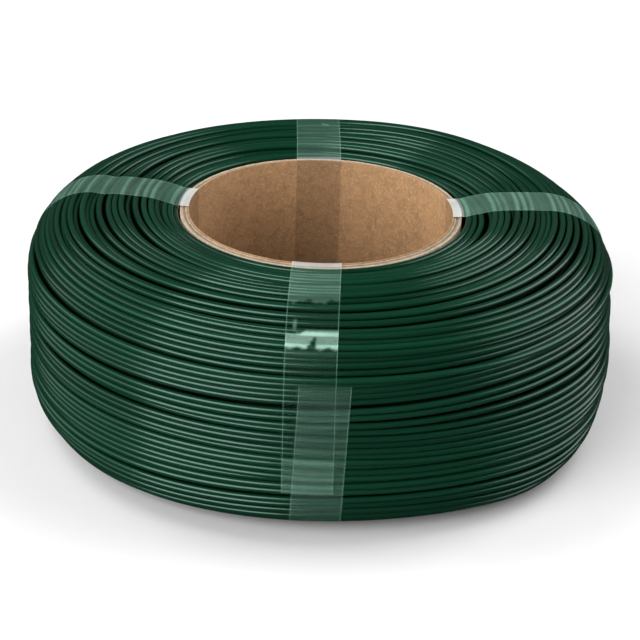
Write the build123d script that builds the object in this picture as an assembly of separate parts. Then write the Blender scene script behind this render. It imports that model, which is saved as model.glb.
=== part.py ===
"""Refill coil of 1.75 mm printing filament: a cardboard core, the wound strand and four tape straps.

The coil stands on one end, with its axis on +Z. The origin is on the axis, at the lowest point of the
straps that wrap the core's lower end. Lengths are millimetres, angles degrees.
"""

import math
import os

from build123d import *

# Strand and winding
STRAND_D = 1.75  # filament diameter
COIL_R = 85.0  # outer radius of the last layer
LAYERS = 28  # layers from the core to the outside

# Each end face swells from the core to a low flat crown, then rounds over an elliptical shoulder to the side
CROWN_H = 62.3  # height over the crowns
CROWN_IN_R = 54.0  # the crown's flat ring starts here
SHOULDER_W = 19.0  # the shoulder, inwards
SHOULDER_H = 16.0  # the shoulder, along the axis

# Cardboard core, listed from the bore outwards
CORE_BORE_R = 38.1  # 3 inch bore
CORE_H = 58.5
CORE_PLIES = [
    ("core_liner_ply", 0.4),
    ("core_board_ply_1", 0.6),
    ("core_board_ply_2", 0.6),
    ("core_board_ply_3", 0.5),
    ("core_wrap_ply", 0.4),
]

# Clear tape
TAPE_T = 0.1
TAPE_W = 13.5
TAPE_GAP = 0.06  # air between the tape and the turns under it
STRAPS = [("strap_front", -90.0), ("strap_right", 0.0), ("strap_back", 90.0), ("strap_left", 180.0)]
TAPE_LANDS = 47.0  # radius where the tape, coming off the core's end, meets the turns
LAP_TOP = 8.0  # height above the middle where the free end of a strap stops
LAP_BOTTOM = -18.0  # height below the middle where the hidden end starts
SWEEP = 26.0  # a strap is cut from a revolved band this wide
OUTLINE_STEPS = 24  # straight steps along the curved part of a strap's section

CORE_R = CORE_BORE_R + sum(thickness for _, thickness in CORE_PLIES)
LAYER_PITCH = (COIL_R - CORE_R) / LAYERS
CROWN_OUT_R = COIL_R - SHOULDER_W
CORE_STEP = 0.4  # the first layer's end turns lie this far below the core's end
MIDDLE = TAPE_T + TAPE_GAP + CROWN_H / 2  # height of the coil's middle plane


def half_height(radius):
    """Half the height of the winding at a radius: up to the crown, level, then down the shoulder."""
    if radius < CROWN_IN_R:
        start = CORE_H / 2 - CORE_STEP
        share = (CROWN_IN_R - radius) / (CROWN_IN_R - CORE_R)
        return CROWN_H / 2 - (CROWN_H / 2 - start) * share**2
    if radius < CROWN_OUT_R:
        return CROWN_H / 2
    share = min((radius - CROWN_OUT_R) / SHOULDER_W, 1.0)
    return CROWN_H / 2 - SHOULDER_H * (1 - math.sqrt(1 - share**2))


def turns_in_layer(number):
    """Whole turns that fit in a layer. Every second layer nests in the one below, half a turn in."""
    inner = CORE_R + number * LAYER_PITCH
    room = 2 * min(half_height(inner), half_height(inner + 0.97 * LAYER_PITCH))
    count = int(room / STRAND_D)
    if count % 2 != number % 2:
        count -= 1
    return count


def layer(number):
    """One layer as a sleeve: round end turns, and round turns wherever the next layer leaves it bare."""
    inner = CORE_R + number * LAYER_PITCH
    outer = inner + LAYER_PITCH
    centre = (inner + outer) / 2
    turns = turns_in_layer(number)
    above = turns_in_layer(number + 1) if number + 1 < LAYERS else 0
    top = turns * STRAND_D / 2
    bare = turns // 2 if above == 0 else (turns - above) // 2
    groove = outer - STRAND_D / 4
    low_wall = top - LAYER_PITCH / 2
    edges = [
        Line((inner, -low_wall), (inner, low_wall)),
        ThreePointArc((inner, low_wall), (centre, top), (outer, low_wall)),
    ]
    here = (outer, low_wall)
    heights = [top - turn * STRAND_D for turn in range(1, bare + 1)]
    if bare > 1:
        edges.append(Line(here, (groove, heights[0])))
        here = (groove, heights[0])
        for below in heights[1:]:
            bulge = (outer, below + STRAND_D / 2)
            edges.append(ThreePointArc(here, bulge, (groove, below)))
            here = (groove, below)
    upper = [(edge @ 0, edge @ 0.5, edge @ 1) for edge in edges[2:]]
    if turns % 2 and above == 0:
        edges.append(ThreePointArc(here, (outer, 0), (here[0], -here[1])))
    elif here[1] > 0:
        edges.append(Line(here, (here[0], -here[1])))
    for start, middle, end in reversed(upper):
        if abs(start.X - end.X) > 1e-6:
            edges.append(Line((end.X, -end.Y), (start.X, -start.Y)))
        else:
            edges.append(ThreePointArc((end.X, -end.Y), (middle.X, -middle.Y), (start.X, -start.Y)))
    edges.append(ThreePointArc((outer, -low_wall), (centre, -top), (inner, -low_wall)))
    section = Plane.XZ * make_face(edges)
    return Pos(0, 0, MIDDLE) * revolve(section, Axis.Z, 360)


def ply(inner, outer):
    """One cardboard ply of the core."""
    return Pos(0, 0, MIDDLE) * (Cylinder(outer, CORE_H) - Cylinder(inner, CORE_H))


def shoulder_point(share, gap):
    """A point on the shoulder, from 0 at the crown to 1 at the side, moved outwards by a gap."""
    turn = share * math.pi / 2
    radius = CROWN_OUT_R + SHOULDER_W * math.sin(turn)
    height = CROWN_H / 2 - SHOULDER_H * (1 - math.cos(turn))
    slope_r = math.sin(turn) / SHOULDER_W
    slope_z = math.cos(turn) / SHOULDER_H
    size = math.hypot(slope_r, slope_z)
    return (radius + gap * slope_r / size, height + gap * slope_z / size)


def wrapped_section(gap):
    """The coil's section as the tape sees it, grown by a gap: bore, core end, crown, shoulder, side."""
    core_end = CORE_H / 2 + (gap - TAPE_GAP)
    bore = CORE_BORE_R - (gap - TAPE_GAP)
    points = [(bore, core_end), (CORE_R, core_end)]
    for step in range(OUTLINE_STEPS // 4):
        radius = TAPE_LANDS + (CROWN_IN_R - TAPE_LANDS) * step / (OUTLINE_STEPS // 4)
        points.append((radius, half_height(radius) + gap))
    points.append((CROWN_IN_R, CROWN_H / 2 + gap))
    points += [shoulder_point(step / OUTLINE_STEPS, gap) for step in range(OUTLINE_STEPS + 1)]
    points += [(radius, -height) for radius, height in reversed(points)]
    return make_face(Polyline(*points, close=True))


def strap(azimuth):
    """One turn of tape round the coil's section, with its ends lapped on the outside."""
    band = wrapped_section(TAPE_GAP + TAPE_T) - wrapped_section(TAPE_GAP)
    lap = wrapped_section(TAPE_GAP + 2 * TAPE_T) - wrapped_section(TAPE_GAP + TAPE_T)
    lap_middle = (LAP_TOP + LAP_BOTTOM) / 2
    lap &= Pos(COIL_R, lap_middle) * Rectangle(COIL_R / 2, LAP_TOP - LAP_BOTTOM)
    ring = Rot(0, 0, -SWEEP / 2) * revolve(Plane.XZ * (band + lap), Axis.Z, SWEEP)
    strip = ring & Box(4 * COIL_R, TAPE_W, 4 * COIL_R)
    return Pos(0, 0, MIDDLE) * (Rot(0, 0, azimuth) * strip)


def main():
    os.makedirs("parts", exist_ok=True)
    inner = CORE_BORE_R
    for name, thickness in CORE_PLIES:
        export_step(ply(inner, inner + thickness), f"parts/{name}.step")
        inner += thickness
    for number in range(LAYERS):
        export_step(layer(number), f"parts/winding_layer_{number + 1:02d}.step")
    for name, azimuth in STRAPS:
        export_step(strap(azimuth), f"parts/{name}.step")


main()
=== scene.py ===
"""Refill coil of printing filament: the wound strand, its cardboard core, four tape straps and the stage."""

import math

import bpy
import numpy as np
from mathutils import Matrix, Vector


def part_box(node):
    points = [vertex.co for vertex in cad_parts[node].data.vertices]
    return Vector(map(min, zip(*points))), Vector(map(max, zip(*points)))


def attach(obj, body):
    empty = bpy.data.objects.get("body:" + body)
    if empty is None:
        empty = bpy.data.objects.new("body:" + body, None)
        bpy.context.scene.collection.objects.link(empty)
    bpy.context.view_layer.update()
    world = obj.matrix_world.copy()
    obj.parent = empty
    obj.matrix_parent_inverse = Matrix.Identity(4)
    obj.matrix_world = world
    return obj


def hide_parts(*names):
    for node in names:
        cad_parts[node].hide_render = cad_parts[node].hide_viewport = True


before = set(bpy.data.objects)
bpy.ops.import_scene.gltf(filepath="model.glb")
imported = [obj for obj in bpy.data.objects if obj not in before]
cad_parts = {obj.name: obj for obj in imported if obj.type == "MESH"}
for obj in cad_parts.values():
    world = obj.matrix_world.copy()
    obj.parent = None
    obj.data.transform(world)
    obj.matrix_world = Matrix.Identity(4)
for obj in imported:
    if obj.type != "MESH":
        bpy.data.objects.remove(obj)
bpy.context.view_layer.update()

bl_info = {
    "name": "Filament Refill Coil",
    "version": (1, 0, 0),
    "blender": (4, 5, 0),
    "location": "3D View > Sidebar > Coil",
    "description": "Builds a wound filament coil with its core, straps and stage",
    "category": "Add Mesh",
}

MM = 0.001
FULL_TURN = 2 * math.pi
LAYER_NODES = sorted(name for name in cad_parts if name.startswith("winding_layer"))
CORE_LOW, CORE_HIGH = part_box("core_wrap_ply")
LINER_WALL = 0.4 * MM
CORE_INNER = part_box("core_liner_ply")[1].x - LINER_WALL
COIL_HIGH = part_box(LAYER_NODES[-1])[1]
MIDDLE = (CORE_LOW.z + CORE_HIGH.z) / 2
RIM_EDGE = CORE_HIGH.x + 0.6 * MM

# Each strap stands at an azimuth in degrees. Its first end lies under its last one on the coil's side:
# both heights are from the middle, and the last end is shifted aside and slants. Within a radius in
# millimetres the film over the crown is lightened by an amount, a painted reflection of the lamps, and it is
# hazy by another amount over the core's edge.
STRAPS = {
    "strap_front": {
        "azimuth": -90.9,
        "first_end": -16 * MM,
        "last_end": 16 * MM,
        "aside": 3.3 * MM,
        "slant": 0.04,
        "sheen_radius": 66.5,
        "haze": 0.46,
        "edge_haze": 0.9,
    },
    "strap_right": {
        "azimuth": 5.5,
        "first_end": -19 * MM,
        "last_end": 5.0 * MM,
        "aside": -1.0 * MM,
        "slant": 0.02,
        "sheen_radius": 84,
        "haze": 0.64,
        "edge_haze": 1.5,
    },
    "strap_back": {
        "azimuth": 91.6,
        "first_end": -20 * MM,
        "last_end": 9.0 * MM,
        "aside": 1.4 * MM,
        "slant": -0.03,
        "sheen_radius": 83,
        "haze": 0.30,
        "edge_haze": 0.5,
    },
    "strap_left": {
        "azimuth": 171.8,
        "first_end": -17 * MM,
        "last_end": 6.0 * MM,
        "aside": 0.8 * MM,
        "slant": 0.03,
        "sheen_radius": 87,
        "haze": 0.50,
        "edge_haze": 1.5,
    },
}

# Long gaps between turns: height from the middle, azimuth and spread in degrees, and opening.
# A negative opening draws the turns together.
GAPS = (
    (13 * MM, -38, 34, 2.0 * MM),
    (22 * MM, -30, 30, 2.0 * MM),
    (5 * MM, -52, 20, 1.6 * MM),
    (-12 * MM, -30, 26, 1.5 * MM),
    (27 * MM, -16, 26, 1.6 * MM),
    (28.5 * MM, -100, 70, -1.8 * MM),
    (-20 * MM, -58, 26, 1.4 * MM),
    (19 * MM, -150, 24, 1.2 * MM),
    (-4 * MM, -128, 18, 1.2 * MM),
)

# Softboxes: azimuth and elevation in degrees, distance, width and height in metres, radiance,
# and whether glossy surfaces mirror it
SOFTBOXES = {
    "key_left": (-128, 27, 1.3, 1.15, 1.05, 7.0, True),
    "far_left": (-187, 24, 1.6, 1.9, 1.0, 1.3, True),
    "fill_right": (10, 26, 1.3, 1.5, 0.95, 2.7, True),
    "over_left": (157, 57, 1.5, 0.75, 0.75, 7.0, False),
    "over_right": (23, 57, 1.5, 0.75, 0.75, 7.0, False),
    "back_sweep": (90, 20, 2.2, 3.0, 1.2, 0.06, True),
}

# The camera looks at the core's upper rim: distance in metres, angles in degrees, lens in millimetres
CAMERA_DISTANCE = 0.575
CAMERA_RAISED = 22.8
CAMERA_PITCH = 26.0
CAMERA_ROLL = 1.8
CAMERA_LENS = 111.9
CAMERA_SENSOR = 36
CAMERA_ASIDE = 0.72 * MM


# ---------------------------------------------------------------- sizes and colours


class CoilSizes(bpy.types.PropertyGroup):
    """Sizes of the coil's pieces"""

    strand: bpy.props.FloatProperty(
        name="Strand", description="Diameter of the filament", default=1.75 * MM, unit="LENGTH"
    )
    height: bpy.props.FloatProperty(
        name="Height", description="Height over the two crowns", default=62.2 * MM, unit="LENGTH"
    )
    core_step: bpy.props.FloatProperty(
        name="Core step", description="First turns below the core's end", default=0.5 * MM, unit="LENGTH"
    )
    crown_start: bpy.props.FloatProperty(
        name="Crown start", description="Radius where the crown levels out", default=54 * MM, unit="LENGTH"
    )
    top_reach: bpy.props.FloatProperty(
        name="Top shoulder reach", description="Top shoulder, inwards", default=20.5 * MM, unit="LENGTH"
    )
    top_drop: bpy.props.FloatProperty(
        name="Top shoulder drop", description="Top shoulder, downwards", default=18 * MM, unit="LENGTH"
    )
    foot_reach: bpy.props.FloatProperty(
        name="Foot reach", description="Bottom shoulder, inwards", default=18 * MM, unit="LENGTH"
    )
    foot_rise: bpy.props.FloatProperty(
        name="Foot rise", description="Bottom shoulder, upwards", default=13 * MM, unit="LENGTH"
    )
    looseness: bpy.props.FloatProperty(
        name="Looseness", description="How far gaps open between turns", default=1.0, min=0, max=3
    )
    tape_width: bpy.props.FloatProperty(
        name="Tape width", description="Width of each strap", default=13.5 * MM, unit="LENGTH"
    )
    seed: bpy.props.IntProperty(name="Seed", description="Changes how the turns lie", default=7)


class CoilColours(bpy.types.PropertyGroup):
    """Colours of the coil's pieces"""

    filament: bpy.props.FloatVectorProperty(
        name="Filament",
        description="Colour of the strand",
        subtype="COLOR",
        default=(0.0020, 0.0205, 0.0100),
    )
    kraft: bpy.props.FloatVectorProperty(
        name="Kraft",
        description="Colour of the core's lining",
        subtype="COLOR",
        default=(0.262, 0.147, 0.067),
    )
    board: bpy.props.FloatVectorProperty(
        name="Board",
        description="Colour of the core's grey plies",
        subtype="COLOR",
        default=(0.27, 0.21, 0.148),
    )
    tape: bpy.props.FloatVectorProperty(
        name="Tape haze",
        description="Colour of the tape's haze",
        subtype="COLOR",
        default=(0.36, 0.66, 0.52),
    )


# ---------------------------------------------------------------- shader maths


class Value:
    """A socket that Python arithmetic turns into shader nodes"""

    def __init__(self, shader, socket):
        self.shader = shader
        self.socket = socket

    def maths(self, operation, *values):
        return self.shader.node("ShaderNodeMath", {"operation": operation}, *values)[0]

    def __add__(self, other):
        return self.maths("ADD", self, other)

    __radd__ = __add__

    def __mul__(self, other):
        return self.maths("MULTIPLY", self, other)

    __rmul__ = __mul__

    def __sub__(self, other):
        return self.maths("SUBTRACT", self, other)

    def __rsub__(self, other):
        return self.maths("SUBTRACT", other, self)

    def __abs__(self):
        return self.maths("ABSOLUTE", self)

    def clamp(self, low, high):
        """The value mapped so that low gives 0 and high gives 1, eased at both ends."""
        inputs = {"Value": self, "From Min": low, "From Max": high}
        return self.shader.node("ShaderNodeMapRange", {"interpolation_type": "SMOOTHSTEP"}, **inputs)[0]


class Shader:
    """The node tree of a material or of the world"""

    def __init__(self, owner):
        owner.use_nodes = True
        self.owner = owner
        self.tree = owner.node_tree
        self.tree.nodes.clear()

    def node(self, kind, settings=None, *values, **named):
        """Adds a node. Its settings come first, then the inputs it uses, in order or by name."""
        made = self.tree.nodes.new(kind)
        for key, value in (settings or {}).items():
            setattr(made, key, value)
        used = [socket for socket in made.inputs if socket.enabled]
        pairs = list(zip(used, values))
        pairs += [(made.inputs[key], value) for key, value in named.items()]
        for socket, value in pairs:
            if isinstance(value, Value):
                self.tree.links.new(value.socket, socket)
            elif socket.type == "RGBA":
                socket.default_value = (*value[:3], 1)
            else:
                socket.default_value = value
        return [Value(self, socket) for socket in made.outputs if socket.enabled]

    def mix(self, factor, first, second):
        """A colour between two colours."""
        return self.node("ShaderNodeMix", {"data_type": "RGBA"}, factor, first, second)[0]

    def place(self):
        """Where a point is on the object, in metres."""
        return self.node("ShaderNodeTexCoord")[3]

    def stretched(self, vector, scale):
        """A vector with each axis scaled."""
        return self.node("ShaderNodeMapping", None, Vector=vector, Scale=scale)[0]

    def noise(self, vector, scale, detail=2.0, roughness=0.5):
        """Noise from 0 to 1."""
        inputs = {"Vector": vector, "Scale": scale, "Detail": detail, "Roughness": roughness}
        return self.node("ShaderNodeTexNoise", None, **inputs)[0]

    def attribute(self, name):
        """A number stored on the mesh."""
        return self.node("ShaderNodeAttribute", {"attribute_name": name})[2]

    def bump(self, height, distance, strength=1.0):
        """A normal bent by a height."""
        inputs = {"Height": height, "Distance": distance, "Strength": strength}
        return self.node("ShaderNodeBump", None, **inputs)[0]

    def finish(self, **inputs):
        """The surface, as a Principled shader with these inputs."""
        surface = self.node("ShaderNodeBsdfPrincipled", None, **inputs)[0]
        self.node("ShaderNodeOutputMaterial", None, surface)
        return self.owner


def shades(colour, share):
    """A colour made darker or lighter, up to full."""
    return [min(channel * share, 1) for channel in colour]


def filament_plastic(colour):
    """Glossy extruded plastic: faint die lines along the strand and a slow change of shade."""
    shader = Shader(bpy.data.materials.new("filament_plastic"))
    along = shader.attribute("along")
    around = shader.attribute("around")
    tone = shader.attribute("tone")
    place = shader.node("ShaderNodeCombineXYZ", None, along * 12, around * 3, tone * 40)[0]
    shade = shader.noise(place, 1.0, 3)
    lines = shader.noise(shader.stretched(place, (0.4, 9, 1)), 1.0, 2)
    base = shader.mix((shade * 0.6 + tone * 0.4).clamp(0.2, 0.8), shades(colour, 0.72), shades(colour, 1.3))
    roughness = 0.17 + 0.08 * shade + 0.05 * lines
    return shader.finish(
        **{
            "Base Color": base,
            "Roughness": roughness,
            "Normal": shader.bump(lines, 0.00002, 0.35),
            "IOR": 1.5,
            "Specular Tint": (0.66, 1.0, 0.86),
        }
    )


def shaded_buried_plastic(colour):
    """The turns below the last layer, which get almost no light, in painted shade: the filament's colour
    darkened.
    """
    shader = Shader(bpy.data.materials.new("buried_filament_painted_shade"))
    speck = shader.noise(shader.place(), 900, 2)
    base = shader.mix(speck, shades(colour, 0.06), shades(colour, 0.16))
    return shader.finish(**{"Base Color": base, "Roughness": 0.5 + 0.1 * speck, "IOR": 1.12})


def paper(name, colour, fibre_share):
    """Paper of the core: mottled pulp, darker fibres, and a soft fuzz in the surface."""
    shader = Shader(bpy.data.materials.new(name))
    place = shader.place()
    mottle = shader.noise(place, 55, 5, 0.6)
    grain = shader.noise(place, 420, 4, 0.65)
    fine = shader.noise(place, 1500, 2, 0.6)
    fibres = shader.noise(shader.stretched(place, (1, 1, 0.28)), 620, 3, 0.7)
    fleck = fibres.clamp(0.60, 0.72)
    pulp = (mottle * 0.35 + grain * 0.65).clamp(0.3, 0.7)
    base = shader.mix(pulp, shades(colour, 0.74), shades(colour, 1.18))
    base = shader.mix(fleck * fibre_share * 0.6, base, shades(colour, 0.5))
    base = shader.mix(fine.clamp(0.5, 0.68) * 0.7, base, shades(colour, 1.5))
    height = grain * 0.6 + fine * 0.4
    return shader.finish(
        **{"Base Color": base, "Roughness": 0.78 + 0.15 * grain, "Normal": shader.bump(height, 0.00016, 0.7)}
    )


def tape_film(colour):
    """Clear tape: see-through, with clouds of haze, a painted reflection over the crown and a painted glare
    patch, brighter along its cut edges and brown in the bore.
    """
    shader = Shader(bpy.data.materials.new("tape_film"))
    across = shader.attribute("across")
    lift = shader.attribute("lift")
    along = shader.attribute("along")
    edge = abs(across).clamp(0.955, 0.995)
    place = shader.node("ShaderNodeCombineXYZ", None, along * 1000, across * 7, 0.0)[0]
    haze = shader.noise(shader.stretched(place, (0.25, 0.12, 1)), 1.0, 4, 0.6)
    streak = shader.noise(shader.stretched(place, (0.05, 3.0, 1)), 1.0, 2)
    # This stored amount holds the tape's haze together with its painted crown reflection and painted glare.
    haze_and_sheen = shader.attribute("haze_and_sheen")
    veil = haze_and_sheen * (0.13 + 0.12 * haze) * (1.75 - 1.05 * lift)
    clear_cover, edge_cover, bore_cover = 0.003, 0.13, 0.17
    cover = (clear_cover + veil + clear_cover * streak) + edge_cover * edge
    inside = shader.attribute("inside")
    cover = cover * (1 - inside) + bore_cover * inside
    base = shader.mix(haze, colour, shades(colour, 1.25))
    # The film turns grey over the core's rim and partly over the painted glare and crown reflection.
    base = shader.mix(shader.attribute("pale"), base, (0.52, 0.54, 0.53))
    base = shader.mix(inside, base, (0.05, 0.03, 0.018))
    return shader.finish(
        **{
            "Base Color": base,
            "Roughness": 0.22 + 0.18 * haze,
            "Alpha": cover,
            "Normal": shader.bump(haze + streak * 0.5, 0.00005, 0.2),
            "IOR": 1.5,
        }
    )


def floor_paint():
    """A plain white sweep with a barely visible grain, which glows far from the coil to stay white."""
    shader = Shader(bpy.data.materials.new("white_sweep"))
    place = shader.place()
    grain = shader.noise(place, 60, 2)
    away = shader.node("ShaderNodeVectorMath", {"operation": "LENGTH"}, place)[0]
    return shader.finish(
        **{
            "Base Color": shader.mix(grain, (0.57, 0.57, 0.57), (0.59, 0.59, 0.59)),
            "Roughness": 0.8,
            "Emission Color": shader.mix(away.clamp(0.4, 1.3), (0, 0, 0), (1, 1, 1)),
            "Emission Strength": 1.0,
        }
    )


# ---------------------------------------------------------------- meshes


def mesh_piece(name, points, quads, caps=(), numbers=None, smooth=True):
    """A mesh object from arrays of points and quads, with end caps and numbers stored on its points."""
    mesh = bpy.data.meshes.new(name)
    corners = [np.asarray(quads).reshape(-1), *caps]
    flat = np.concatenate(corners).astype(np.int32)
    sizes = np.concatenate([np.full(len(quads), 4), [len(cap) for cap in caps]]).astype(np.int32)
    starts = np.concatenate([[0], np.cumsum(sizes)[:-1]]).astype(np.int32)
    mesh.vertices.add(len(points))
    mesh.vertices.foreach_set("co", np.asarray(points, np.float32).reshape(-1))
    mesh.loops.add(len(flat))
    mesh.loops.foreach_set("vertex_index", flat)
    mesh.polygons.add(len(sizes))
    mesh.polygons.foreach_set("loop_start", starts)
    mesh.update(calc_edges=True)
    mesh.validate()
    for key, values in (numbers or {}).items():
        layer = mesh.attributes.new(key, "FLOAT", "POINT")
        layer.data.foreach_set("value", np.asarray(values, np.float32))
    if smooth:
        mesh.polygons.foreach_set("use_smooth", np.ones(len(mesh.polygons), bool))
    piece = bpy.data.objects.new(name, mesh)
    bpy.context.scene.collection.objects.link(piece)
    return piece


def grid_quads(rows, columns, closed=False):
    """Quads joining a grid of points, row by row; closed joins each row's ends."""
    across = columns if closed else columns - 1
    row, column = np.meshgrid(np.arange(rows - 1), np.arange(across), indexing="ij")
    here = row * columns + column
    beside = row * columns + (column + 1) % columns
    return np.stack([here, beside, beside + columns, here + columns], -1).reshape(-1, 4)


class Unevenness:
    """A repeatable random curve: values from 0 to 1 at even steps, eased between them"""

    def __init__(self, seed, steps_per_turn, turns=400):
        self.steps = steps_per_turn
        self.values = np.random.default_rng(seed).random(int(turns * steps_per_turn) + 8)

    def at(self, turn):
        place = np.asarray(turn, float) * self.steps
        before = np.floor(place).astype(int)
        part = place - before
        part = part * part * (3 - 2 * part)
        return self.values[before] * (1 - part) + self.values[before + 1] * part


def smooth_row(values, width):
    """A row of numbers averaged over a window of an odd width."""
    window = np.hanning(width + 2)[1:-1]
    window /= window.sum()
    return np.convolve(np.pad(values, width // 2, mode="edge"), window, "valid")


def nearness(azimuth, degrees, spread):
    """How near an azimuth in radians is to one in degrees: 1 there, less over the spread in degrees."""
    off = (azimuth - math.radians(degrees) + math.pi) % FULL_TURN - math.pi
    return np.exp(-((off / math.radians(spread)) ** 2))


def ring_points(radius, height, turned):
    """Points from a radius and height per row, or per row and column, and an azimuth per row or column."""
    return np.stack(np.broadcast_arrays(radius * np.cos(turned), radius * np.sin(turned), height), -1)


def closed_quads(rows, columns):
    """Quads of a grid whose rows and columns both close on themselves."""
    first = np.arange(columns)
    last = (rows - 1) * columns + first
    join = np.stack([last, np.roll(last, -1), np.roll(first, -1), first], -1)
    return np.concatenate([grid_quads(rows, columns, closed=True), join])


class Section:
    """Half of the coil's cross-section, from the core over the crown, down the side and back under"""

    FACE_POINTS = 40
    SHOULDER_POINTS = 60
    SAMPLES = 1600
    LEAN_WINDOW = 61  # samples over which the outward direction is evened
    SIDE_DEPTH = 14 * MM  # how deep from the outside a point still counts as the side

    def __init__(self, sizes):
        half = sizes.height / 2
        side = COIL_HIGH.x
        inner = CORE_HIGH.x + 0.1 * MM
        start = (CORE_HIGH.z - CORE_LOW.z) / 2 - sizes.core_step
        rise = np.linspace(0, 1, self.FACE_POINTS)
        quarter = np.linspace(0, math.pi / 2, self.SHOULDER_POINTS)
        face = np.stack(
            [inner + (sizes.crown_start - inner) * rise, half - (half - start) * (1 - rise) ** 2], 1
        )
        over = np.stack(
            [
                side - sizes.top_reach + sizes.top_reach * np.sin(quarter),
                half - sizes.top_drop + sizes.top_drop * np.cos(quarter),
            ],
            1,
        )
        under = np.stack(
            [
                side - sizes.foot_reach + sizes.foot_reach * np.cos(quarter),
                -half + sizes.foot_rise - sizes.foot_rise * np.sin(quarter),
            ],
            1,
        )
        corners = np.concatenate([face, over, under, face[::-1] * (1, -1)])
        steps = np.linalg.norm(np.diff(corners, axis=0), axis=1)
        along = np.concatenate([[0], np.cumsum(steps)])
        self.length = along[-1]
        self.fine = np.linspace(0, self.length, self.SAMPLES)
        self.radius = np.interp(self.fine, along, corners[:, 0])
        self.height = MIDDLE + np.interp(self.fine, along, corners[:, 1])
        lean_r = smooth_row(np.gradient(self.radius, self.fine), self.LEAN_WINDOW)
        lean_z = smooth_row(np.gradient(self.height, self.fine), self.LEAN_WINDOW)
        size = np.hypot(lean_r, lean_z)
        self.out_r = -lean_z / size
        self.out_z = lean_r / size

    def at(self, along):
        """Radius, height and outward direction at a distance along the section."""
        curves = (self.radius, self.height, self.out_r, self.out_z)
        return [np.interp(along, self.fine, values) for values in curves]

    def where(self, height):
        """How far along the section its outer side reaches a height."""
        outer = self.radius > COIL_HIGH.x - self.SIDE_DEPTH
        return float(np.interp(-height, -self.height[outer], self.fine[outer]))


def swell(azimuth, radius, height):
    """How far the coil stands out of round: pulled in under the straps, fuller between them.

    Each bulge has its height in millimetres, then its azimuth and spread in degrees.
    """
    level = np.clip((height - CORE_LOW.z) / (CORE_HIGH.z - CORE_LOW.z), 0, 1)
    body = np.sin(math.pi * level) ** 0.5
    sides = 0.7 * nearness(azimuth, -48, 24) * (1 - 0.5 * level) + 1.0 * nearness(azimuth, -12, 26) * level
    sides += 2.9 * nearness(azimuth, -32, 20) * np.exp(-(((level - 0.40) / 0.2) ** 2))
    outward = np.clip((radius - 44 * MM) / (20 * MM), 0, 1)
    crown = 0.9 * nearness(azimuth, 62, 26) * level**4 * outward
    foot = 2.7 * nearness(azimuth, -43, 21) + 0.9 * nearness(azimuth, -132, 20)
    foot = foot - 0.4 * nearness(azimuth, -84, 24)
    foot = foot * np.exp(-((level / 0.4) ** 2)) * np.clip((radius - 68 * MM) / (13 * MM), 0, 1)
    return MM * (body * (-0.35 * np.cos(4 * azimuth) + sides - 0.35) + crown + foot)


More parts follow.
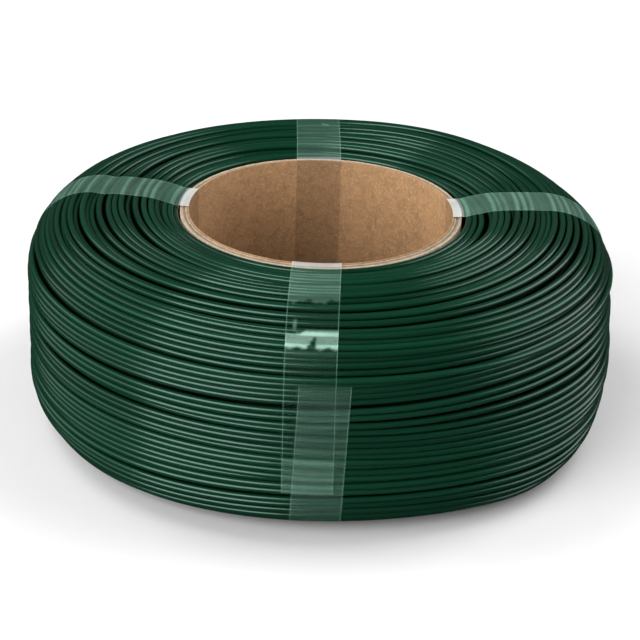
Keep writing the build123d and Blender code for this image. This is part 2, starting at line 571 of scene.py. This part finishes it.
class Winding:
    """One strand laid turn beside turn over the section: its place and its sink at every step"""

    STEPS = 256  # in one turn
    ROUNDS = 60  # of settling
    STIFFNESS = 13  # steps evened out together in a round
    BAND_LENGTHS = (14, 42)  # shortest and longest band of turns that drifts together, in millimetres
    BAND_SLOPE = 0.034  # a band's drift over its length
    # The rest are in strands
    PITCH = 1.03
    SHAKE = 1.25
    DIP = 0.95
    RIPPLE = 0.07
    WIDEST_GAP = 2.0
    DEEPEST = 1.15
    HIGHEST = 0.06
    GIRTH = 0.995

    def __init__(self, section, sizes, seed, depth=0.0):
        self.section = section
        self.depth = depth
        self.strand = sizes.strand
        self.turns = int(section.length / (sizes.strand * self.PITCH))
        self.turn = np.arange(self.turns * self.STEPS + 1) / self.STEPS
        self.azimuth = math.pi / 2 + FULL_TURN * (self.turn % 1.0)
        pitch = (section.length - sizes.strand) / (self.turns - 1)
        along = sizes.strand / 2 + pitch * (self.turn - 0.5)
        own = Unevenness(seed, 2.1).at(self.turn) - 0.5
        dips = np.clip((Unevenness(seed + 2, 1.7).at(self.turn) - 0.55) / 0.45, 0, 1)
        ripple = Unevenness(seed + 3, 9.0).at(self.turn) - 0.5
        self.place = along + sizes.looseness * (self.wander(along, seed) + self.SHAKE * sizes.strand * own)
        self.sink = sizes.strand * sizes.looseness * (self.DIP * dips**1.3 + self.RIPPLE * ripple)
        for height, degrees, spread, opening in GAPS:
            off, close = self.beside(along, height, degrees, spread)
            self.sink += 0.75 * max(opening, 0) * close * np.exp(-((off / 0.6) ** 2))
        self.settle()

    def beside(self, along, height, degrees, spread):
        """How many strands each step is from a gap, and how near its azimuth, from 0 to 1."""
        off = (along - self.section.where(MIDDLE + height)) / self.strand
        return off, nearness(self.azimuth, degrees, spread)

    def wander(self, along, seed):
        """Whole bands of turns drifting up and down together round the coil, and the gaps they leave."""
        dice = np.random.default_rng(seed + 9)
        round_angle = FULL_TURN * (self.turn % 1.0)
        drift = np.zeros_like(along)
        for waves in (1, 1, 2, 2, 3, 4, 5):
            length = dice.uniform(*self.BAND_LENGTHS) * MM
            reach = dice.uniform(0.5, 1.0) * length * self.BAND_SLOPE
            way = FULL_TURN * along / length * dice.choice((-1, 1))
            drift += reach * np.sin(waves * round_angle + way + dice.uniform(0, 6.3))
        for height, degrees, spread, opening in GAPS:
            off, close = self.beside(along, height, degrees, spread)
            drift += opening / 2 * close * np.exp(-((off / 5) ** 2)) * np.tanh(off / 0.5)
        ends = np.clip(np.minimum(along, self.section.length - along) / (8 * MM), 0, 1)
        return drift * ends

    def settle(self):
        """Push overlapping turns apart, keep them near the surface, and even each out like a stiff strand."""
        for _ in range(self.ROUNDS):
            for neighbour in (1, 2, 3):
                shift = neighbour * self.STEPS
                off = self.place[shift:] - self.place[:-shift]
                drop = self.sink[shift:] - self.sink[:-shift]
                apart = np.hypot(off, drop)
                push = 0.25 * np.clip(self.strand - apart, 0, None) / np.maximum(apart, 1e-6)
                self.place[shift:] += off * push
                self.place[:-shift] -= off * push
                self.sink[shift:] += drop * push
                self.sink[:-shift] -= drop * push
            spacing = self.place[self.STEPS :] - self.place[: -self.STEPS]
            pull = 0.15 * np.clip(spacing - self.WIDEST_GAP * self.strand, 0, None)
            self.place[self.STEPS :] -= pull
            self.place[: -self.STEPS] += pull
            self.sink = np.clip(self.sink, -self.HIGHEST * self.strand, self.DEEPEST * self.strand)
            self.place = np.clip(self.place, self.strand / 2, self.section.length - self.strand / 2)
            self.sink = smooth_row(self.sink, self.STIFFNESS)
            even = self.turn * self.strand
            self.place = smooth_row(self.place - even, self.STIFFNESS) + even

    def tube(self, name, first, last, sides):
        """The turns from first up to last as one round tube."""
        steps = slice(first * self.STEPS, last * self.STEPS + 1)
        turn, azimuth = self.turn[steps], self.azimuth[steps]
        radius, height, out_r, out_z = self.section.at(self.place[steps])
        inward = self.strand / 2 + self.sink[steps] + self.depth - swell(azimuth, radius, height)
        radius = radius - out_r * inward
        height = height - out_z * inward
        spin = np.linspace(0, FULL_TURN, sides, endpoint=False)
        half = self.strand / 2 * self.GIRTH
        ring_r = radius[:, None] + half * (np.cos(spin) * out_r[:, None] + np.sin(spin) * out_z[:, None])
        ring_z = height[:, None] + half * (np.cos(spin) * out_z[:, None] - np.sin(spin) * out_r[:, None])
        points = ring_points(ring_r, ring_z, azimuth[:, None])
        rows = len(turn)
        numbers = {
            "along": np.repeat(turn * 0.5, sides),
            "around": np.tile(spin / FULL_TURN, rows),
            "tone": np.repeat(Unevenness(91, 0.8).at(turn), sides),
        }
        caps = [np.arange(sides)[::-1], (rows - 1) * sides + np.arange(sides)]
        return mesh_piece(name, points.reshape(-1, 3), grid_quads(rows, sides, closed=True), caps, numbers)

    def crest(self, along, azimuth):
        """How far the turns stand out from the section at places along it, for one azimuth in radians."""
        part = ((azimuth - math.pi / 2) / FULL_TURN) % 1.0
        column = int(round(part * self.STEPS)) % self.STEPS
        place = self.place[column :: self.STEPS]
        sink = self.sink[column :: self.STEPS]
        off = np.asarray(along)[:, None] - place[None, :]
        half = self.strand / 2
        rise = np.sqrt(np.clip(half**2 - off**2, 0, None)) - half - sink[None, :]
        rise = np.where(np.abs(off) < half, rise, -2 * half)
        return rise.max(1)


class COIL_OT_winding(bpy.types.Operator):
    """Lay the strand over the coil's section, with a second layer and a ring under it, both painted dark as
    shade
    """

    bl_idname = "coil.winding"
    bl_label = "Winding"
    UNDER_SEED = 40
    UNDER_DEPTH = 1.25
    BURIED_DEPTH = 2.4
    PIECES = ("turns_top_face", "turns_top_shoulder", "turns_side", "turns_foot", "turns_under_face")

    def execute(self, context):
        sizes = context.scene.coil_sizes
        colours = context.scene.coil_colours
        plastic = filament_plastic(colours.filament)
        shaded_buried = shaded_buried_plastic(colours.filament)
        section = Section(sizes)
        outer = Winding(section, sizes, sizes.seed)
        depth = sizes.strand * self.UNDER_DEPTH
        under = Winding(section, sizes, sizes.seed + self.UNDER_SEED, depth)
        cuts = [round(outer.turns * share) for share in (0, 0.2, 0.4, 0.6, 0.8, 1)]
        pieces = [outer.tube(name, *ends, 12) for name, ends in zip(self.PIECES, zip(cuts, cuts[1:]))]
        half = under.turns // 2
        hidden = [
            under.tube("turns_below_upper", 0, half, 6),
            under.tube("turns_below_lower", half, under.turns, 6),
            self.buried_ring(section, sizes),
        ]
        for piece in pieces:
            piece.data.materials.append(plastic)
        # Painted shade: the second layer and the ring take the filament's colour darkened.
        for piece in hidden:
            piece.data.materials.append(shaded_buried)
        for piece in pieces + hidden:
            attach(piece, "root")
        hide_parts(*LAYER_NODES)
        return {"FINISHED"}

    def buried_ring(self, section, sizes):
        """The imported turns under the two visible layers, as one ring."""
        rows, columns = 90, 120
        radius, height, out_r, out_z = section.at(np.linspace(0, section.length, rows))
        inward = sizes.strand * self.BURIED_DEPTH
        radius = np.maximum(radius - out_r * inward, CORE_HIGH.x + 0.05 * MM)
        height = height - out_z * inward
        turned = np.linspace(0, FULL_TURN, columns, endpoint=False)
        points = ring_points(radius[:, None], height[:, None], turned)
        return mesh_piece("turns_buried", points.reshape(-1, 3), closed_quads(rows, columns)[:, ::-1])


def rough_ring(name, inner, outer, low, high, seed):
    """One ply of the core, with a slightly uneven cut edge."""
    around = 360
    turned = np.linspace(0, FULL_TURN, around, endpoint=False)
    share = np.arange(around) / around
    dice = np.random.default_rng(seed)
    counts = (2, 3, 5, 9, 17, 31, 53, 77)
    wave = sum(
        dice.uniform(0.2, 1) / count**0.5 * np.sin(FULL_TURN * (count * share + dice.random()))
        for count in counts
    )
    fuzz = dice.normal(0, 1, around) * 0.10
    lift = (wave / len(counts) + fuzz) * 0.18 * MM - 0.09 * MM
    soft = min(0.12 * MM, (outer - inner) * 0.3)
    bevel = soft * 0.3
    middle = (low + high) / 2
    outline = [
        (inner, low + soft),
        (inner, middle),
        (inner, high - soft + lift),
        (inner + bevel, high - bevel + lift),
        (inner + soft, high + lift),
        (outer - soft, high + lift),
        (outer - bevel, high - bevel + lift),
        (outer, high - soft + lift),
        (outer, middle),
        (outer, low + soft),
        (outer - soft, low),
        (inner + soft, low),
    ]
    points = np.array([ring_points(radius, level, turned) for radius, level in outline])
    return mesh_piece(name, points.reshape(-1, 3), closed_quads(len(outline), around))


class COIL_OT_core(bpy.types.Operator):
    """Build the cardboard core's plies"""

    bl_idname = "coil.core"
    bl_label = "Core"

    def execute(self, context):
        colours = context.scene.coil_colours
        kraft = paper("kraft_lining", colours.kraft, 0.75)
        board = paper("grey_board", colours.board, 0.4)
        pale = paper("pale_wrap", shades(colours.board, 1.25), 0.3)
        dim = paper("board_seam", shades(colours.board, 0.55), 0.3)
        # Each ply's node, paper, slot, and how far its cut edge lies below the core's upper end
        plies = [
            ("core_liner_ply", kraft, "kraft_liner", 0),
            ("core_board_ply_1", board, "grey_board", 0.30 * MM),
            ("core_board_ply_2", dim, "grey_board", 0.45 * MM),
            ("core_board_ply_3", board, "grey_board", 0.40 * MM),
            ("core_wrap_ply", pale, "pale_wrap", 0.35 * MM),
        ]
        inner = CORE_INNER
        for number, (node, material, slot, recess) in enumerate(plies):
            low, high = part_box(node)
            piece = rough_ring(node + "_paper", inner, high.x, low.z, high.z - recess, 200 + number)
            piece.data.materials.append(material)
            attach(piece, "root")
            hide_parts(node)
            inner = high.x
        return {"FINISHED"}


class COIL_OT_straps(bpy.types.Operator):
    """Drape the four tape straps over the turns"""

    bl_idname = "coil.straps"
    bl_label = "Straps"
    COLUMNS = 19
    ROW = 0.27 * MM
    HOLD = 11  # rows to each side over which the film stays as high as its highest turn
    EVENING = 19  # rows evened together
    CLEARANCE = 0.05 * MM
    LAP_RISE = 0.13 * MM
    OVER_CORE = 0.07 * MM
    BRIDGE = 6 * MM  # how far from the core the film lies flat
    RIM_ROWS = 9
    BORE_ROWS = 60
    BORE_LIFT = 0.2
    LAP_HAZE = 0.19
    UNDER_LAP_HAZE = 0.24
    UNDER_LAP_TOP = -5.5  # millimetres above the middle
    EDGE_LEVEL = 28.9  # millimetres from the middle

    def execute(self, context):
        sizes = context.scene.coil_sizes
        film = tape_film(context.scene.coil_colours.tape)
        section = Section(sizes)
        outer = Winding(section, sizes, sizes.seed)
        for node, strap in STRAPS.items():
            piece = self.drape(node, strap, section, outer, sizes)
            piece.data.materials.append(film)
            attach(piece, "root")
            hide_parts(node)
        return {"FINISHED"}

    def drape(self, name, strap, section, outer, sizes):
        """One length of tape: from its first end on the side, over the top, down the bore and back up."""
        angle = math.radians(strap["azimuth"])
        across = np.linspace(-1, 1, self.COLUMNS)
        half = across * sizes.tape_width / 2
        turned = angle + half / COIL_HIGH.x
        along = np.arange(0, section.length, self.ROW)
        laid, gap = self.laid(along, turned, outer, strap["aside"])
        radius, height, out_r, out_z = (values[:, None] for values in section.at(along))

        def leg(steps, over):
            rise = laid[steps] + over * self.LAP_RISE + swell(turned[None, :], radius[steps], height[steps])
            out = radius[steps] + out_r[steps] * rise
            level = height[steps] + out_z[steps] * rise
            return out, level, gap[steps], np.full(rise.shape, over)

        down = leg(np.flatnonzero(along < section.where(MIDDLE + strap["first_end"]))[::-1], 0.0)
        up = leg(np.flatnonzero(along > section.where(MIDDLE + strap["last_end"]))[::-1], 1.0)
        through = self.through_bore()
        reach, level, lift, over = (np.concatenate(parts) for parts in zip(down, through, up))
        top, bottom = CORE_HIGH.z + self.OVER_CORE, CORE_LOW.z - self.OVER_CORE
        bridge = reach < CORE_HIGH.x + self.BRIDGE
        level = np.where(bridge & (level > MIDDLE), np.maximum(level, top), level)
        level = np.where(bridge & (level < MIDDLE), np.minimum(level, bottom), level)
        level[len(down[0]) : -len(up[0])] = through[1]
        level = np.maximum(level, 0)
        shift = over * (strap["aside"] + (level - MIDDLE) * strap["slant"])
        side = half[None, :] + shift
        out = np.sqrt(reach**2 - side**2)
        x = out * math.cos(angle) - side * math.sin(angle)
        y = out * math.sin(angle) + side * math.cos(angle)
        points = np.stack([x, y, level], -1)
        inside = reach < CORE_INNER
        haze_and_sheen = self.haze_and_sheen(name, level, reach, over, side)
        centre = points[:, self.COLUMNS // 2]
        length = np.cumsum(np.append(0, np.linalg.norm(np.diff(centre, axis=0), axis=1)))
        # Grey film over the core's rim and, where the film clouds most, over the painted glare patch and
        # crown reflection.
        rim_and_glare_grey = np.where(reach < RIM_EDGE, 1.0, 0.25 * (haze_and_sheen > 0.8))
        numbers = {
            "across": np.broadcast_to(across, level.shape).reshape(-1),
            "along": np.broadcast_to(length[:, None], level.shape).reshape(-1),
            "lift": lift.reshape(-1),
            "haze_and_sheen": haze_and_sheen.reshape(-1),
            "inside": inside.reshape(-1).astype(float),
            "pale": np.where(inside, 0.0, rim_and_glare_grey).reshape(-1),
        }
        quads = grid_quads(len(level), self.COLUMNS)
        return mesh_piece(name + "_film", points.reshape(-1, 3), quads, (), numbers)

    def laid(self, along, turned, outer, aside):
        """How far the film stands out along each column, and how clear of the turns it is, from 0 to 1."""
        film, gap = [], []
        for azimuth in turned:
            crest = np.maximum(outer.crest(along, azimuth), outer.crest(along, azimuth + aside / COIL_HIGH.x))
            spots = range(len(crest))
            held = np.array([crest[max(0, spot - self.HOLD) : spot + self.HOLD + 1].max() for spot in spots])
            film.append(smooth_row(held, self.EVENING) + self.CLEARANCE)
            gap.append(np.clip((film[-1] - crest) / (0.4 * MM), 0, 1))
        return np.array(film).T, np.array(gap).T

    def through_bore(self):
        """The film over the core's upper edge, down its wall and out over the lower edge."""
        rim = np.linspace(CORE_HIGH.x + 0.05 * MM, CORE_INNER, self.RIM_ROWS)
        wall = np.full(self.BORE_ROWS, CORE_INNER - 0.04 * MM)
        top, bottom = CORE_HIGH.z + self.OVER_CORE, CORE_LOW.z - self.OVER_CORE
        levels = np.linspace(top, bottom, self.BORE_ROWS)
        out = np.concatenate([rim, wall, rim[::-1]])
        level = np.concatenate([np.full(self.RIM_ROWS, top), levels, np.full(self.RIM_ROWS, bottom)])
        flat = np.ones((len(out), self.COLUMNS))
        return flat * out[:, None], flat * level[:, None], flat * self.BORE_LIFT, flat * 0

    def haze_and_sheen(self, name, level, reach, over, side):
        """How much the film clouds over: a painted reflection of the lamps over the crown, haze on the core's
        edge and where it lies double, and a painted highlight in its patch.
        """
        strap = STRAPS[name]
        up = (level - MIDDLE) / MM
        wide = side / MM
        ragged = 0.8 * np.sin(wide * 0.9) + 0.5 * np.sin(wide * 2.3 + 1)
        crown = np.clip((strap["sheen_radius"] - reach / MM) / 1.2 + ragged, 0, 1)
        # The crown's share is painted reflection: the film is lightened over the top, inside the strap's
        # radius.
        milk_and_sheen = strap["haze"] * crown * (up > 0)
        milk_and_sheen += strap["edge_haze"] * ((np.abs(up) > self.EDGE_LEVEL) & (reach < RIM_EDGE))
        under = (over < 0.5) & (reach > COIL_HIGH.x - 12 * MM)
        low = np.clip((self.UNDER_LAP_TOP - up) / 0.3, 0, 1)
        milk_and_sheen += self.LAP_HAZE * over + self.UNDER_LAP_HAZE * under * low
        # The front strap also gets a painted highlight: its glare patch and streak.
        if name == "strap_front":
            milk_and_sheen += self.front_glare(up, wide) * under
        return milk_and_sheen

    @staticmethod
    def front_glare(up, wide):
        """The painted highlight, a white glare patch and streak where the front strap stands off the turns,
        and the faint haze below it.
        """
        notch = np.clip(1 - np.abs(wide - 0.2 - 0.5 * (up - 25)) / 1.5, 0, 1)
        low = 24.2 + 0.3 * np.sin(wide * 1.6 + 1) + 2.3 * notch
        high = 27.9 - 0.8 * np.clip((-wide - 1.5) / 2, 0, 1)
        glare = np.clip((up - low) / 0.5, 0, 1) * np.clip((high - up) / 0.4, 0, 1)
        streak = np.clip(1 - np.abs(wide + 4.0 + 0.3 * (up - 27)) / 0.4, 0, 1)
        glare = np.maximum(glare, streak * np.clip((29.6 - up) / 1.5, 0, 1) * (up > 25))
        faint = 0.07 * np.clip((up - 19) / 4, 0, 1) * np.clip(25 - up, 0, 1)
        return faint + 1.5 * glare


class COIL_OT_stage(bpy.types.Operator):
    """Lay the floor, hang the softboxes and set the camera"""

    bl_idname = "coil.stage"
    bl_label = "Stage"
    FLOOR_HALF = 6.0

    def execute(self, context):
        scene = context.scene
        scene.view_settings.view_transform = "Standard"
        self.floor()
        self.world(scene)
        for name, placing in SOFTBOXES.items():
            self.softbox(name, *placing)
        self.camera(scene)
        return {"FINISHED"}

    def floor(self):
        half = self.FLOOR_HALF
        points = [(-half, -half, 0), (half, -half, 0), (half, half, 0), (-half, half, 0)]
        floor = mesh_piece("floor", points, [[0, 1, 2, 3]], smooth=False)
        floor.data.materials.append(floor_paint())
        floor.visible_glossy = False

    def world(self, scene):
        """White air behind the coil, which is dim where it lights matt surfaces and almost dark in gloss."""
        scene.world = bpy.data.worlds.new("studio")
        air = Shader(scene.world)
        rays = air.node("ShaderNodeLightPath")
        camera_ray, diffuse_ray = rays[0], rays[2]
        strength = 0.02 + 1.2 * camera_ray + 0.32 * diffuse_ray
        background = air.node("ShaderNodeBackground", None, (1, 1, 1), strength)[0]
        air.node("ShaderNodeOutputWorld", None, background)

    def softbox(self, name, azimuth, elevation, distance, width, height, radiance, mirrored):
        light = bpy.data.lights.new(name, "AREA")
        light.shape = "RECTANGLE"
        light.size = width
        light.size_y = height
        light.energy = radiance * math.pi * width * height
        lamp = bpy.data.objects.new(name, light)
        turned, raised = math.radians(azimuth), math.radians(elevation)
        level = math.cos(raised)
        towards = Vector((math.cos(turned) * level, math.sin(turned) * level, math.sin(raised)))
        lamp.location = towards * distance
        lamp.rotation_mode = "QUATERNION"
        lamp.rotation_quaternion = towards.to_track_quat("Z", "Y")
        lamp.visible_glossy = mirrored
        bpy.context.scene.collection.objects.link(lamp)

    def camera(self, scene):
        data = bpy.data.cameras.new("camera")
        data.lens = CAMERA_LENS
        data.sensor_width = CAMERA_SENSOR
        data.clip_start = 0.01
        viewer = bpy.data.objects.new("camera", data)
        scene.collection.objects.link(viewer)
        raised = math.radians(CAMERA_RAISED)
        back, up = CAMERA_DISTANCE * math.cos(raised), CAMERA_DISTANCE * math.sin(raised)
        viewer.location = Vector((CAMERA_ASIDE, -back, CORE_HIGH.z + up))
        tilt = Matrix.Rotation(math.pi / 2 - math.radians(CAMERA_PITCH), 4, "X")
        roll = Matrix.Rotation(math.radians(CAMERA_ROLL), 4, "Z")
        viewer.rotation_mode = "QUATERNION"
        viewer.rotation_quaternion = (tilt @ roll).to_quaternion()
        scene.camera = viewer


class COIL_PT_panel(bpy.types.Panel):
    """The coil's sizes, colours and steps"""

    bl_idname = "COIL_PT_panel"
    bl_label = "Filament coil"
    bl_space_type = "VIEW_3D"
    bl_region_type = "UI"
    bl_category = "Coil"

    def draw(self, context):
        for group in (context.scene.coil_sizes, context.scene.coil_colours):
            box = self.layout.box()
            for key in group.__annotations__:
                box.prop(group, key)
        for step in STEPS:
            self.layout.operator(step.bl_idname)


STEPS = (COIL_OT_winding, COIL_OT_core, COIL_OT_straps, COIL_OT_stage)
CLASSES = (CoilSizes, CoilColours, *STEPS, COIL_PT_panel)


def register():
    for entry in CLASSES:
        bpy.utils.register_class(entry)
    bpy.types.Scene.coil_sizes = bpy.props.PointerProperty(type=CoilSizes)
    bpy.types.Scene.coil_colours = bpy.props.PointerProperty(type=CoilColours)


def unregister():
    del bpy.types.Scene.coil_sizes
    del bpy.types.Scene.coil_colours
    for entry in reversed(CLASSES):
        bpy.utils.unregister_class(entry)


def main():
    register()
    bpy.ops.coil.winding()
    bpy.ops.coil.core()
    bpy.ops.coil.straps()
    bpy.ops.coil.stage()


if __name__ == "__main__":
    main()
